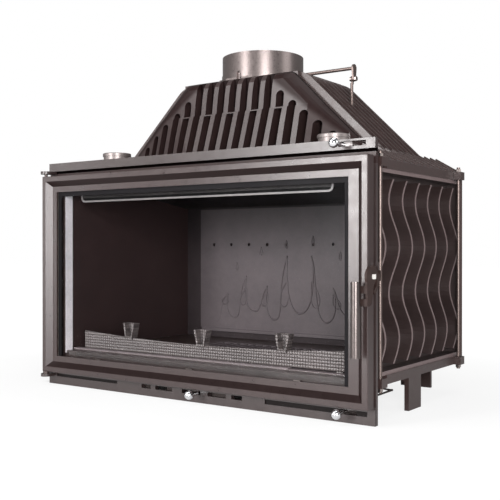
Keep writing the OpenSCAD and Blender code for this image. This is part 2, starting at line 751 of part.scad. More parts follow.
module ash_box() color(iron) translate([0, grate_y, 0]) difference() {
    union() {
        block([-ash_x, -ash_y, ash_z0], [ash_x, ash_y, lip_z - base_t]);
        block([-ash_x - 14, -ash_y - 14, lip_z - base_t - 4], [ash_x + 14, ash_y + 14, lip_z - base_t]);
    }
    block([-ash_x + ash_wall, -ash_y + ash_wall, ash_z0 + ash_wall],
        [ash_x - ash_wall, ash_y - ash_wall, lip_z - base_t + lap]);
}

pan_h = lip_z - base_t - ash_z0 - ash_wall - 12;
pan_x = grate_w / 2 - ledge_w - 4;
pan_y = grate_d / 2 - ledge_w - 4;
pan_t = 2;

module ash_pan() color(steel) translate([0, grate_y, ash_z0 + ash_wall]) difference() {
    block([-pan_x, -pan_y, 0], [pan_x, pan_y, pan_h]);
    block([-pan_x + pan_t, -pan_y + pan_t, pan_t], [pan_x - pan_t, pan_y - pan_t, pan_h + lap]);
}

// Hinge lugs on the frame, above and below the door
lug_r = 13;
lug_gap = 6;
lug_z0 = door_z0 - lug_gap - lug_t;
lug_z1 = door_z1 + lug_gap;

module lug(z) difference() {
    union() {
        bar_z(z, z + lug_t, hinge_x, hinge_y, lug_r);
        block([hinge_x - 8, hinge_y, z], [hinge_x + lug_r, z < sill_z ? 0 : face_raise, z + lug_t]);
    }
    bar_z(z - lap, z + lug_t + lap, hinge_x, hinge_y, hinge_r + running);
}

module hinge_lugs() color(iron) {
    lug(lug_z0);
    lug(lug_z1);
}

// Bent wire under the base, on the right
wire_r = 2;
wire_x = body_x - lip_w - 10;
wire_gap = 8;
wire_y = 151;
wire_points = [[wire_x, frame_y1 + seat_gap, base_z - 26], [wire_x, wire_y, base_z - 24],
    [wire_x - wire_gap, wire_y, base_z - 24], [wire_x - wire_gap, wire_y - 89, base_z - 3],
    [wire_x - wire_gap, wire_y - 89, lip_z - base_t]];

// Round bar between any two points
module strut(a, b, r) let (d = b - a)
    translate(a) rotate([0, acos(d.z / norm(d)), atan2(d.y, d.x)]) cylinder(h = norm(d), r = r);

module air_wire() color(steel) {
    for (i = [0:len(wire_points) - 2]) strut(wire_points[i], wire_points[i + 1], wire_r);
    for (i = [1:len(wire_points) - 2]) translate(wire_points[i]) sphere(wire_r + 0.4);
}

// Door frame: one moulded section that runs round four sides
edge_c = 1.5;
back_c = 3.5;
round_c = 1;
seal_d0 = 7;
seal_d1 = 16;
seal_r = 3.85;
clip_land = 19;
land_y = glass_y + glass_t + 0.2;
door_h = door_z1 - door_z0;
door_mid = (door_z0 + door_z1) / 2;
floor_y = -door_proud + channel_d;
slot_back = floor_y + 4.3;

// Block as large as the door, drawn in by a distance on all four sides
module door_block(inset, y0, y1)
    block([-door_w / 2 + inset, y0, door_z0 + inset], [door_w / 2 - inset, y1, door_z1 - inset]);

// The same with sloping sides: one distance at y0 and another at y1
module door_taper(inset0, y0, inset1, y1) hull() {
    door_block(inset0, y0, y0 + 0.01);
    door_block(inset1, y1 - 0.01, y1);
}

module door_frame() color(iron) difference() {
    union() {
        door_taper(edge_c, -door_proud, 0, -door_proud + edge_c);
        door_block(0, -door_proud + edge_c, door_back - back_c);
        door_taper(0, door_back - back_c, back_c, door_back);
    }
    door_taper(border_w - round_c, -door_proud - 0.01, border_w, -door_proud + round_c);
    door_taper(border_w, -door_proud + round_c - 0.01, border_w + channel_w, floor_y);
    difference() {
        door_block(door_in, floor_y - lap, slot_back + lap);
        block([door_w / 2 - door_in - stile_extra, floor_y, door_z0], [door_w / 2, slot_back + lap, door_z1]);
    }
    door_block(rebate_d, slot_back, land_y);
    door_block(clip_land, land_y - 0.01, door_back + lap);
    difference() {
        door_block(seal_d0, -4, door_back + lap);
        door_block(seal_d1, -5, door_back + 1);
    }
    for (z = [door_z0 - lap, door_z1 - 30 + lap]) bar_z(z, z + 30, hinge_x, hinge_y, hinge_r);
    bar_x(door_w / 2 - bolt_d, door_w / 2 + lap, pivot_y, pivot_z, pivot_r);
}

// Places a bar's outer edge on one side of the door: turn 0 is the bottom
module on_side(turn, reach) translate([0, 0, door_mid]) rotate([0, turn, 0])
    translate([0, 0, -reach]) rotate([90, 0, 0]) mirror([0, 0, 1]) children();

module ring(out_x, out_z0, out_z1, w, y0, y1) difference() {
    block([-out_x, y0, out_z0], [out_x, y1, out_z1]);
    block([-out_x + w, y0 - lap, out_z0 + w], [out_x - w, y1 + lap, out_z1 - w]);
}

glass_gap = 1.5;
glass_x = door_w / 2 - rebate_d - glass_gap;
glass_z0 = door_z0 + rebate_d + glass_gap;
glass_z1 = door_z1 - rebate_d - glass_gap;

module door_glass() color([0.35, 0.36, 0.38, 0.35])
    block([-glass_x, glass_y, glass_z0], [glass_x, glass_y + glass_t, glass_z1]);

module glass_tape() color(rope) ring(glass_x, glass_z0, glass_z1, 7, glass_y - 1.2, glass_y);

clip_l = 20;
clip_w = 16;
clip_t = 2;
clip_x = door_w / 2 - 170;
clip_z = door_h / 2 - 111;
clip_at = [[-clip_x, 0], [0, 0], [clip_x, 0], [-clip_x, 180], [0, 180], [clip_x, 180],
    [-clip_z, 90], [clip_z, 90], [-clip_z, 270], [clip_z, 270]];

module clip_places() for (c = clip_at) let (reach = c.y % 180 == 0 ? door_h / 2 : door_w / 2)
    on_side(c.y, reach) translate([c.x, 0, land_y]) children();

module glass_clips() color(steel) clip_places()
    block([-clip_w / 2, 20, 0], [clip_w / 2, 20 + clip_l, clip_t]);

module clip_screws() color(steel) clip_places() translate([0, 25, clip_t]) cylinder(h = 1.6, r = 3.5);

module door_seal() color(rope) {
    d = (seal_d0 + seal_d1) / 2;
    x = door_w / 2 - d;
    y = seal_r - 4;
    for (z = [door_z0 + d, door_z1 - d]) bar_x(-x, x, y, z, seal_r);
    both_sides() {
        bar_z(door_z0 + d, door_z1 - d, x, y, seal_r);
        for (z = [door_z0 + d, door_z1 - d]) translate([x, y, z]) sphere(seal_r);
    }
}

module hinge_pins() color(steel) {
    bar_z(lug_z0 - 1, door_z0 + 29, hinge_x, hinge_y, hinge_r);
    bar_z(door_z1 - 29, lug_z1 + lug_t + 1, hinge_x, hinge_y, hinge_r);
}

module hinge_washers() color(steel) difference() {
    bar_z(lug_z0 + lug_t + 0.1, door_z0, hinge_x, hinge_y, hinge_r + 4);
    bar_z(lug_z0, door_z0 + lap, hinge_x, hinge_y, hinge_r);
}

// Handle: a cast lever beside the door turns on a bolt and carries the grip in front of the stile
pivot_y = 8 - door_proud;
pivot_z = door_mid + pivot_rise;
grip_drop = 151;
grip_z = pivot_z - grip_drop;
pivot_r = 4.5;
bolt_d = 14;
hook_r = 28;
lever_x0 = door_w / 2 + 3.1;
lever_x1 = lever_x0 + lever_t;
grip_x = door_w / 2 - 13;
grip_y = -door_proud - grip_stand;
catch_y0 = 2;
catch_y1 = 8;
catch_gap = 0.7;
catch_z = pivot_z + 11 + catch_gap;
bracket_y = grip_y + grip_r - 1.2;
bracket_t = 7;
grip_screw_r = 2.5;
grip_screw_zs = [pivot_z - 48, pivot_z - 24];

module handle_pivot() color(steel) {
    bar_x(door_w / 2 - bolt_d, lever_x1 + 0.3, pivot_y, pivot_z, pivot_r);
    bar_x(door_w / 2, lever_x0 - 0.2, pivot_y, pivot_z, pivot_r + 5);
    block([lever_x1 + 0.2, pivot_y - 4.5, pivot_z - 4.5], [lever_x1 + 3.5, pivot_y + 4.5, pivot_z + 4.5]);
}

// Curved finger behind the lever's boss, drawn in Y and Z
module hook_finger() intersection() {
    difference() {
        circle(hook_r);
        circle(hook_r - 8);
    }
    polygon([[0, hook_r], [0, 0], [hook_r * 0.36, -hook_r], [2 * hook_r, -hook_r], [2 * hook_r, hook_r]]);
}

module lever_outline() {
    translate([pivot_y - 8, pivot_z]) circle(19);
    hull() {
        translate([pivot_y - 11, pivot_z - 12]) circle(14);
        translate([pivot_y - 13, pivot_z - 45]) circle(9);
    }
    translate([pivot_y - 4, pivot_z - 7]) hook_finger();
    translate([catch_y0 + 1, pivot_z - 9]) square([catch_y1 - catch_y0 + 4, 13]);
    translate([catch_y1 + 1.5, pivot_z - 3]) square([4.5, 14]);
}

module handle_lever() color(dark_iron) difference() {
    union() {
        along_x(lever_x0, lever_x1) lever_outline();
        for (z = grip_screw_zs) hull() {
            block([grip_x - 7, bracket_y, z - 6], [grip_x + 7, bracket_y + bracket_t, z + 6]);
            block([lever_x0 - 1, bracket_y, z - 7], [lever_x1, bracket_y + bracket_t + 3, z + 7]);
        }
    }
    bar_x(lever_x0 - 1, lever_x1 + 1, pivot_y, pivot_z, pivot_r + running);
    for (z = grip_screw_zs) {
        bar_y(bracket_y - 1, bracket_y + bracket_t + 1, grip_x, z, grip_screw_r);
        bar_y(bracket_y + bracket_t, bracket_y + bracket_t + 6, grip_x, z, grip_screw_r + 2.3);
    }
}

module handle_grip() color(chrome) difference() {
    bar_z(grip_z, grip_z + grip_len, grip_x, grip_y, grip_r);
    for (z = grip_screw_zs) bar_y(grip_y, grip_y + grip_r + 1, grip_x, z, grip_screw_r);
    for (z = grip_screw_zs)
        block([grip_x - grip_r, bracket_y, z - 7], [grip_x + grip_r, bracket_y + 3, z + 7]);
}

module grip_screws() color(steel) for (z = grip_screw_zs) {
    bar_y(grip_y + 1, bracket_y + bracket_t + 1, grip_x, z, grip_screw_r);
    bar_y(bracket_y + bracket_t, bracket_y + bracket_t + 3, grip_x, z, grip_screw_r + 2);
}

module latch_catch() color(iron)
    block([frame_w / 2, catch_y0, catch_z], [lever_x1, catch_y1, catch_z + 15]);

// Ball knob on a stem that points forward
module knob(x, y, z, stem_y1) {
    translate([x, y, z]) sphere(knob_r);
    bar_y(y, stem_y1, x, z, stem_r);
    bar_y(y + knob_r - 2, y + knob_r + 3, x, z, 5.5);
}

knob_y = -31;
slide_t = 3;
centre_plate_w = 165;
slide_y = frame_y1 + seat_gap;
centre_travel = 40;
right_travel = 18;

module centre_air_slide() color(steel) difference() {
    block([-centre_plate_w, slide_y, window_z0 - 5], [centre_plate_w + 25, slide_y + slide_t, window_z1 + 5]);
    for (x = [-110, -36, 100])
        block([x, slide_y - lap, window_z0], [x + 34, slide_y + slide_t + lap, window_z1]);
    bar_y(slide_y - lap, slide_y + slide_t + lap, centre_stem_x, centre_knob_z, stem_r);
}

centre_knob_z = (window_z0 + window_z1) / 2;
right_knob_z = (recess_z0 + recess_z1) / 2;

module centre_air_knob() color(chrome) knob(centre_stem_x, knob_y, centre_knob_z, slide_y + slide_t);

module right_air_slide() color(steel) difference() {
    block([right_stem_x - 60, slide_y, recess_z0 - 4], [right_stem_x + 30, slide_y + slide_t, recess_z1 + 6]);
    bar_y(slide_y - lap, slide_y + slide_t + lap, right_stem_x, right_knob_z, stem_r);
}

module right_air_knob() color(chrome) knob(right_stem_x, knob_y, right_knob_z, slide_y + slide_t);

// Damper control: a plate behind the top strip, moved by a knob through the strip's slot
control_t = 4;
control_y1 = slide_y + control_t;

module control_plate() color(steel) difference() {
    block([control_x - 14, slide_y, control_z - 7], [control_x + 16, control_y1, control_z + 7]);
    bar_y(slide_y - lap, control_y1 + lap, control_x, control_z, stem_r);
}

module control_knob() color(chrome) knob(control_x, knob_y, control_z, control_y1);

// Channel on the back of the frame that holds a sliding plate; the corners are those of its hollow
module channel(x0, x1, z0, z1, y1) difference() {
    block([x0, frame_y1, z0 - 1.5], [x1, y1 + 2.5, z1 + 1.5]);
    block([x0 - lap, frame_y1 - lap, z0], [x1 + lap, y1, z1]);
    block([x0 + 12, frame_y1 - lap, z0 + 3], [x1 - 12, y1 + 3, z1 - 3]);
}

module slide_guides() color(dark_iron) {
    channel(-centre_plate_w - 17, centre_plate_w + 43, window_z0 - 6, window_z1 + 6, slide_y + slide_t + 1);
    channel(right_stem_x - 66, right_stem_x + 54, recess_z0 - 5, recess_z1 + 7, slide_y + slide_t + 1);
    channel(control_x - 22, control_x + control_travel + 22, control_z - 8, control_z + 7.4, control_y1 + 1);
    bar_z(control_z + 8, control_z + 23, control_x + 8.5, slide_y + control_t, 1.5);
}

// Damper: disc on a cross shaft, crank outside the collar, and the rod that hangs from it
disc_t = 4;
crank_t = 4;
crank_z = shaft_z - crank_len;
rod_eye_t = 3.6;
crank_bolt_r = 3;
drop_len = 68;
drop_r = 3.5;
crank_x = hood_x(crank_z - drop_len, rim_w) + crank_gap;
drop_x = crank_x - crank_t / 2 - 0.3 - rod_eye_t / 2;

module damper_disc() color(dark_iron) difference() {
    union() {
        bar_z(shaft_z - disc_t / 2, shaft_z + disc_t / 2, 0, flue_y, flue_r - flue_t - 3);
        bar_x(-flue_r + 20, flue_r - 20, flue_y, shaft_z, shaft_r + 3);
    }
    bar_x(-flue_r, flue_r, flue_y, shaft_z, shaft_r);
}

module damper_shaft() color(steel) bar_x(-flue_r - 8, crank_x + crank_t / 2, flue_y, shaft_z, shaft_r);

module damper_crank() color(steel) difference() {
    along_x(crank_x - crank_t / 2, crank_x + crank_t / 2) hull() {
        translate([flue_y, shaft_z]) circle(9, $fn = 32);
        translate([flue_y, crank_z]) circle(6, $fn = 32);
    }
    bar_x(crank_x - crank_t, crank_x + crank_t, flue_y, shaft_z, shaft_r);
    bar_x(crank_x - crank_t, crank_x + crank_t, flue_y, crank_z, crank_bolt_r);
}

module crank_bolt() color(steel) {
    bar_x(drop_x - rod_eye_t / 2 - 3, crank_x + crank_t / 2 + 4, flue_y, crank_z, crank_bolt_r);
    translate([crank_x + crank_t / 2, flue_y, crank_z]) rotate([0, 90, 0]) hex(10, 5);
    bar_x(drop_x - rod_eye_t / 2 - 4, drop_x - rod_eye_t / 2 - 0.3, flue_y, crank_z, crank_bolt_r + 2);
}

module drop_rod() color(steel) difference() {
    union() {
        bar_x(drop_x - rod_eye_t / 2, drop_x + rod_eye_t / 2, flue_y, crank_z, 7);
        block([drop_x - rod_eye_t / 2, flue_y - 3, crank_z - 12],
            [drop_x + rod_eye_t / 2, flue_y + 3, crank_z]);
        bar_z(crank_z - drop_len, crank_z - 9, drop_x + rod_eye_t / 2 - drop_r, flue_y, drop_r);
    }
    bar_x(drop_x - rod_eye_t, drop_x + rod_eye_t, flue_y, crank_z, crank_bolt_r + running);
}

front_frame();
base_plate();
top_plate();
side_plate_left();
side_plate_right();
back_plate();
hood();
hood_front();
flue_collar();
hood_bolts();
cap_left();
cap_right();
tie_rods();
tie_rod_nuts();
side_leg_left();
side_leg_right();
rear_leg_left();
rear_leg_right();
leg_bolts();
fire_back();
liner_left();
liner_right();
smoke_baffle();
air_deflector();
sill_left();
sill_right();
log_guard();
grate();
ash_box();
ash_pan();
hinge_lugs();
latch_catch();
air_wire();
door_frame();
door_glass();
glass_tape();
glass_clips();
clip_screws();
door_seal();
hinge_pins();
hinge_washers();
handle_pivot();
handle_lever();
handle_grip();
grip_screws();
centre_air_slide();
centre_air_knob();
right_air_slide();
right_air_knob();
control_plate();
control_knob();
slide_guides();
damper_disc();
damper_shaft();
damper_crank();
crank_bolt();
drop_rod();
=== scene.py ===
import json
import math

import bpy
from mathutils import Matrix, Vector


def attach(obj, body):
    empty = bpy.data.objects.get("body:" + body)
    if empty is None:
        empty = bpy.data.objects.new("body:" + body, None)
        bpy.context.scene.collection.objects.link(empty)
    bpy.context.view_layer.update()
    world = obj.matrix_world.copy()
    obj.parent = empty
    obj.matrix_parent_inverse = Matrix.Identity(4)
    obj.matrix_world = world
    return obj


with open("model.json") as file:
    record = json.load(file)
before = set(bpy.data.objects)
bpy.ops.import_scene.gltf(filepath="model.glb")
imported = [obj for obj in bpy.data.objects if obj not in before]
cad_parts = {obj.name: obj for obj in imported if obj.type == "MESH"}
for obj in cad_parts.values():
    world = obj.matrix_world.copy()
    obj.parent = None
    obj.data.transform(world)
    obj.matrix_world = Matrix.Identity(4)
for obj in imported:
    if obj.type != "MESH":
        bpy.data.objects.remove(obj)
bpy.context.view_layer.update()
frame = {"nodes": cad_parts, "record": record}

nodes = frame["nodes"]

# Lengths are in metres in the part's frame: X to the right, Y to the back, Z up


# Shader helpers

def srgb(r, g, b):
    """Linear colour with alpha, from sRGB values of 0 to 255."""
    return tuple(((c / 255 + 0.055) / 1.055) ** 2.4 if c > 10 else c / 255 / 12.92 for c in (r, g, b)) + (1.0,)


def grey(v):
    return (v, v, v, 1.0)


def scaled(colour, k):
    return tuple(min(1.0, v * k) for v in colour[:3]) + (1.0,)


def new_material(name):
    m = bpy.data.materials.new(name)
    m.use_nodes = True
    nt = m.node_tree
    nt.nodes.clear()
    out = nt.nodes.new("ShaderNodeOutputMaterial")
    bsdf = nt.nodes.new("ShaderNodeBsdfPrincipled")
    nt.links.new(bsdf.outputs[0], out.inputs[0])
    return m, nt, bsdf


def of_type(nt, kind):
    return next(n for n in nt.nodes if n.type == kind)


def feed(nt, socket, value):
    """Links value to the socket if it is a socket too, and otherwise sets it as a constant."""
    if isinstance(value, bpy.types.NodeSocket):
        nt.links.new(value, socket)
    else:
        socket.default_value = value


def math_node(nt, op, *values):
    n = nt.nodes.new("ShaderNodeMath")
    n.operation = op
    for socket, value in zip(n.inputs, values):
        feed(nt, socket, value)
    return n.outputs[0]


def product(nt, first, *others):
    for value in others:
        first = math_node(nt, "MULTIPLY", first, value)
    return first


def multiplied(nt, a, b, share=1.0):
    """Colour a times colour b, as far as share says."""
    n = nt.nodes.new("ShaderNodeMix")
    n.data_type = "RGBA"
    n.blend_type = "MULTIPLY"
    for i, value in ((0, share), (6, a), (7, b)):
        feed(nt, n.inputs[i], value)
    return n.outputs[2]


def mix_shader(nt, share, a, b):
    """Shader a where share is 0, shader b where it is 1."""
    n = nt.nodes.new("ShaderNodeMixShader")
    for socket, value in zip(n.inputs, (share, a, b)):
        nt.links.new(value, socket)
    return n.outputs[0]


def mapped(nt, scale=(1, 1, 1)):
    """The position in the part's frame, times scale."""
    c = nt.nodes.new("ShaderNodeTexCoord")
    m = nt.nodes.new("ShaderNodeMapping")
    m.inputs["Scale"].default_value = scale
    nt.links.new(c.outputs["Object"], m.inputs[0])
    return m.outputs[0]


def noise(nt, coord, scale, detail=3.0, rough=0.55):
    n = nt.nodes.new("ShaderNodeTexNoise")
    n.inputs["Scale"].default_value = scale
    n.inputs["Detail"].default_value = detail
    n.inputs["Roughness"].default_value = rough
    nt.links.new(coord, n.inputs["Vector"])
    return n.outputs["Fac"]


def ramp(nt, fac, stops):
    r = nt.nodes.new("ShaderNodeValToRGB")
    elements = r.color_ramp.elements
    while len(elements) < len(stops):
        elements.new(0.5)
    for element, (place, colour) in zip(elements, stops):
        element.position = place
        element.color = colour
    nt.links.new(fac, r.inputs[0])
    return r.outputs[0]


def bump(nt, height, strength, distance, normal=None):
    b = nt.nodes.new("ShaderNodeBump")
    b.inputs["Strength"].default_value = strength
    b.inputs["Distance"].default_value = distance
    nt.links.new(height, b.inputs["Height"])
    if normal is not None:
        nt.links.new(normal, b.inputs["Normal"])
    return b.outputs[0]


def step(nt, value, x0, x1, y0=0.0, y1=1.0):
    """Runs smoothly from y0 at x0 to y1 at x1."""
    e = nt.nodes.new("ShaderNodeMapRange")
    e.interpolation_type = "SMOOTHSTEP"
    e.inputs["From Min"].default_value = x0
    e.inputs["From Max"].default_value = x1
    e.inputs["To Min"].default_value = y0
    e.inputs["To Max"].default_value = y1
    nt.links.new(value, e.inputs[0])
    return e.outputs[0]


def position(nt, mirrored=True):
    """X, Y and Z; mirrored gives the distance from the middle for X."""
    sep = nt.nodes.new("ShaderNodeSeparateXYZ")
    nt.links.new(mapped(nt), sep.inputs[0])
    x = math_node(nt, "ABSOLUTE", sep.outputs[0]) if mirrored else sep.outputs[0]
    return x, sep.outputs[1], sep.outputs[2]


AX, AY, AZ = 0, 1, 2
ZONE_SOFT = 0.0003  # half the width of a zone's soft edge


def zone(nt, *limits, mirrored=True):
    """1 inside the limits, each (axis, low, high), and 0 outside."""
    axes = position(nt, mirrored)
    steps = []
    for axis, low, high in limits:
        if low is not None:
            steps.append(step(nt, axes[axis], low - ZONE_SOFT, low + ZONE_SOFT))
        if high is not None:
            steps.append(step(nt, axes[axis], high + ZONE_SOFT, high - ZONE_SOFT))
    return product(nt, *steps)


def tone(m, mask, k, level=None):
    """Multiplies the colour by k where mask is 1, and sets the gloss level there."""
    nt = m.node_tree
    bsdf = of_type(nt, "BSDF_PRINCIPLED")
    colour = bsdf.inputs["Base Color"]
    nt.links.new(multiplied(nt, colour.links[0].from_socket, tuple(k) + (1,), mask), colour)
    if level is not None:
        gloss = bsdf.inputs["Specular IOR Level"]
        mix = nt.nodes.new("ShaderNodeMix")
        nt.links.new(mask, mix.inputs[0])
        feed(nt, mix.inputs[2], gloss.links[0].from_socket if gloss.links else gloss.default_value)
        mix.inputs[3].default_value = level
        nt.links.new(mix.outputs[0], gloss)


def zone_tone(m, limits, k, level=None):
    tone(m, zone(m.node_tree, *limits), k, level)


# Materials

PATCH_SCALE, PORE_SCALE, GRIT_SCALE = 7.0, 55.0, 560.0
PORE_DEPTH, GRIT_DEPTH = 0.0008, 0.00035


def cast_iron(name, colour, rough, metallic, grain, ior=1.9, mottle=0.14):
    """Stove paint on cast iron: sandy cast grain, faint mottling, dust in the pores and uneven gloss."""
    m, nt, bsdf = new_material(name)
    c = mapped(nt)
    patches = noise(nt, c, PATCH_SCALE, 4.0, 0.6)
    pores = noise(nt, c, PORE_SCALE, 3.0, 0.6)
    grit = noise(nt, c, GRIT_SCALE, 2.0, 0.7)
    mottling = math_node(nt, "ADD", product(nt, patches, 0.5), product(nt, pores, 0.5))
    paint = ramp(nt, mottling, [(0.3, scaled(colour, 1 - mottle)), (0.5, colour),
                                (0.72, scaled(colour, 1 + mottle))])
    dust = ramp(nt, grit, [(0.34, grey(0.82)), (0.50, grey(0.97)), (0.70, grey(1.0))])
    nt.links.new(multiplied(nt, paint, dust), bsdf.inputs["Base Color"])
    worn = math_node(nt, "ADD", product(nt, pores, 0.6), product(nt, grit, 0.4))
    gloss = ramp(nt, worn, [(0.35, grey(rough - 0.03)), (0.65, grey(rough + 0.06))])
    nt.links.new(gloss, bsdf.inputs["Roughness"])
    bsdf.inputs["Metallic"].default_value = metallic
    bsdf.inputs["IOR"].default_value = ior
    relief = bump(nt, pores, 0.05 * grain, PORE_DEPTH)
    nt.links.new(bump(nt, grit, 0.36 * grain, GRIT_DEPTH, relief), bsdf.inputs["Normal"])
    return m


WEAVE_PITCH = 0.0065


def woven_iron(name, colour):
    """Cast iron with a relief of small raised squares in rows, like a basket weave."""
    m = cast_iron(name, colour, 0.42, 0.2, 0.4)
    nt = m.node_tree
    bsdf = of_type(nt, "BSDF_PRINCIPLED")
    x, _, z = position(nt, False)
    waves = [math_node(nt, "ABSOLUTE", math_node(nt, "SINE", product(nt, axis, math.pi / WEAVE_PITCH)))
             for axis in (x, z)]
    squares = math_node(nt, "POWER", product(nt, *waves), 0.45)
    normal, colour_in = bsdf.inputs["Normal"], bsdf.inputs["Base Color"]
    nt.links.new(bump(nt, squares, 1.0, 0.0016, normal.links[0].from_socket), normal)
    # Painted shade darkens the hollows between the raised squares
    gaps = ramp(nt, squares, [(0.25, (0.35, 0.33, 0.33, 1)), (0.75, grey(1.0))])
    nt.links.new(multiplied(nt, colour_in.links[0].from_socket, gaps), colour_in)
    return m


# Noise scale in X, Y and Z: Z for streaks along Z, N for no direction
STREAKS = {"Z": (400, 400, 3), "N": (80, 80, 80)}


def brushed(name, colour, rough, along, metallic=1.0):
    """Bare or dull metal with fine streaks or spots."""
    m, nt, bsdf = new_material(name)
    n = noise(nt, mapped(nt, STREAKS[along]), 3.0, 3.0, 0.6)
    metal = ramp(nt, n, [(0.3, scaled(colour, 0.90)), (0.7, scaled(colour, 1.06))])
    nt.links.new(metal, bsdf.inputs["Base Color"])
    gloss = ramp(nt, n, [(0.3, grey(rough - 0.02)), (0.7, grey(rough + 0.05))])
    nt.links.new(gloss, bsdf.inputs["Roughness"])
    bsdf.inputs["Metallic"].default_value = metallic
    nt.links.new(bump(nt, n, 0.02, 0.0002), bsdf.inputs["Normal"])
    return m


def chrome_material(name):
    m, nt, bsdf = new_material(name)
    n = noise(nt, mapped(nt), 240.0, 2.0)
    metal = ramp(nt, n, [(0.3, (0.80, 0.80, 0.82, 1)), (0.7, (0.88, 0.88, 0.90, 1))])
    nt.links.new(metal, bsdf.inputs["Base Color"])
    nt.links.new(ramp(nt, n, [(0.3, grey(0.05)), (0.7, grey(0.11))]), bsdf.inputs["Roughness"])
    bsdf.inputs["Metallic"].default_value = 1.0
    return m


# Clear part of the pane: the enamel border lies outside it, except at the bottom
CLEAR_LEFT, CLEAR_RIGHT, CLEAR_TOP = -0.400, 0.3915, 0.465


def glass_material(name):
    """Ceramic glass: clear with a faint uneven tint, a weak reflection and a black enamel border."""
    m, nt, enamel = new_material(name)
    n = noise(nt, mapped(nt), 14.0, 4.0)
    tint = ramp(nt, n, [(0.3, (0.93, 0.94, 0.94, 1)), (0.7, (0.985, 0.985, 0.985, 1))])
    clear = nt.nodes.new("ShaderNodeBsdfTransparent")
    nt.links.new(tint, clear.inputs[0])
    gloss = nt.nodes.new("ShaderNodeBsdfGlossy")
    gloss.inputs["Roughness"].default_value = 0.10
    gloss.inputs["Color"].default_value = (0.05, 0.05, 0.053, 1)
    fresnel = nt.nodes.new("ShaderNodeFresnel")
    fresnel.inputs["IOR"].default_value = 1.2
    # Only the faces towards the ray reflect, so that the pane stays clear at flat angles
    facing = math_node(nt, "SUBTRACT", 1.0, nt.nodes.new("ShaderNodeNewGeometry").outputs["Backfacing"])
    pane = mix_shader(nt, product(nt, fresnel.outputs[0], facing), clear.outputs[0], gloss.outputs[0])
    enamel.inputs["Base Color"].default_value = (0.006, 0.005, 0.006, 1)
    enamel.inputs["Specular IOR Level"].default_value = 0.1
    nt.links.new(ramp(nt, n, [(0.3, grey(0.45)), (0.7, grey(0.55))]), enamel.inputs["Roughness"])
    nt.links.new(bump(nt, n, 0.1, 0.0002), enamel.inputs["Normal"])
    clear_part = zone(nt, (AX, CLEAR_LEFT, CLEAR_RIGHT), (AZ, None, CLEAR_TOP), mirrored=False)
    whole = mix_shader(nt, clear_part, enamel.outputs[0], pane)
    nt.links.new(whole, of_type(nt, "OUTPUT_MATERIAL").inputs[0])
    return m


def rope_material(name):
    """Glass-fibre rope and tape: slanting twisted strands."""
    m, nt, bsdf = new_material(name)
    w = nt.nodes.new("ShaderNodeTexWave")
    w.inputs["Scale"].default_value = 220
    w.inputs["Distortion"].default_value = 3.0
    w.bands_direction = "DIAGONAL"
    nt.links.new(mapped(nt), w.inputs["Vector"])
    strands = w.outputs["Fac"]
    fibre = ramp(nt, strands, [(0.1, srgb(96, 92, 84)), (0.9, srgb(176, 172, 160))])
    nt.links.new(fibre, bsdf.inputs["Base Color"])
    bsdf.inputs["Roughness"].default_value = 0.95
    nt.links.new(bump(nt, strands, 0.8, 0.0008), bsdf.inputs["Normal"])
    return m


# sRGB colour, roughness, metallic, grain, index of refraction
CAST = {
    "cast_iron_front": ((52, 40, 39), 0.32, 0.1, 0.7, 1.78),
    "cast_iron_door": ((52, 38, 37), 0.30, 0.12, 0.5, 1.70),
    "cast_iron_body": ((56, 40, 38), 0.36, 0.1, 0.7, 1.74),
    "cast_iron_dark": ((62, 43, 40), 0.46, 0.1, 0.6, 1.7),
    "fire_side": ((100, 90, 93), 0.50, 0.1, 0.7, 1.5),
    "liner_iron": ((50, 35, 35), 0.60, 0.05, 0.6, 1.4),
    # The baffle's very dark colour is painted shade for the top of the firebox
    "baffle_iron": ((22, 17, 17), 0.60, 0.0, 0.6, 1.3),
    "deflector_iron": ((118, 112, 112), 0.40, 0.2, 0.4, 1.6),
    # The control plate's light colour is painted light, so that the shaded plate behind the slot looks like the
    # lit strip
    "control_iron": ((178, 172, 170), 0.34, 0.3, 0.4, 1.8),
    "sill_iron": ((118, 106, 108), 0.44, 0.2, 0.6, 1.7),
    "hood_iron": ((50, 36, 35), 0.36, 0.1, 0.7, 1.68),
    "side_iron": ((50, 38, 37), 0.46, 0.1, 0.6, 1.6),
}
# sRGB colour, roughness, streaks, metallic
BRUSHED = {
    "cast_iron_collar": ((124, 114, 112), 0.29, "N", 0.8),
    "steel_fittings": ((158, 148, 144), 0.32, "N", 1.0),
    "stainless_grip": ((108, 100, 98), 0.28, "Z", 1.0),
    "cap_iron": ((140, 131, 129), 0.40, "Z", 0.7),
    "pivot_steel": ((232, 228, 224), 0.35, "N", 0.2),
    "dark_pin": ((84, 74, 72), 0.40, "N", 0.7),
    "plain_rod": ((108, 95, 91), 0.36, "Z", 0.8),
    "sooted_steel": ((60, 52, 50), 0.45, "N", 0.6),
}
mats = {name: cast_iron(name, srgb(*rgb), *rest) for name, (rgb, *rest) in CAST.items()}
mats.update({name: brushed(name, srgb(*rgb), *rest) for name, (rgb, *rest) in BRUSHED.items()})
mats["lever_iron"] = cast_iron("lever_iron", srgb(46, 32, 29), 0.55, 0.0, 1.0, ior=1.35, mottle=0.3)
mats["woven_iron"] = woven_iron("woven_iron", srgb(108, 98, 97))
mats["chrome_knobs"] = chrome_material("chrome_knobs")
mats["clear_glass"] = glass_material("clear_glass")
mats["rope_seal"] = rope_material("rope_seal")


# Tones that the photograph shows on single faces

# Front: a painted shadow line under the top strip, painted shade on the band below it, and painted shade in the
# skirt's recesses, where the slides run
front = mats["cast_iron_front"]
FRONT_FACE = (AY, 0.0035, None)
zone_tone(front, [FRONT_FACE, (AZ, 0.5225, 0.5293)], (0.04, 0.04, 0.04), 0.0)
zone_tone(front, [FRONT_FACE, (AZ, 0.5, 0.5225)], (0.9, 0.85, 0.85), 0.12)
zone_tone(front, [(AY, 0.0020, 0.0032), (AZ, None, 0.04)], (0.2, 0.2, 0.2), 0.1)
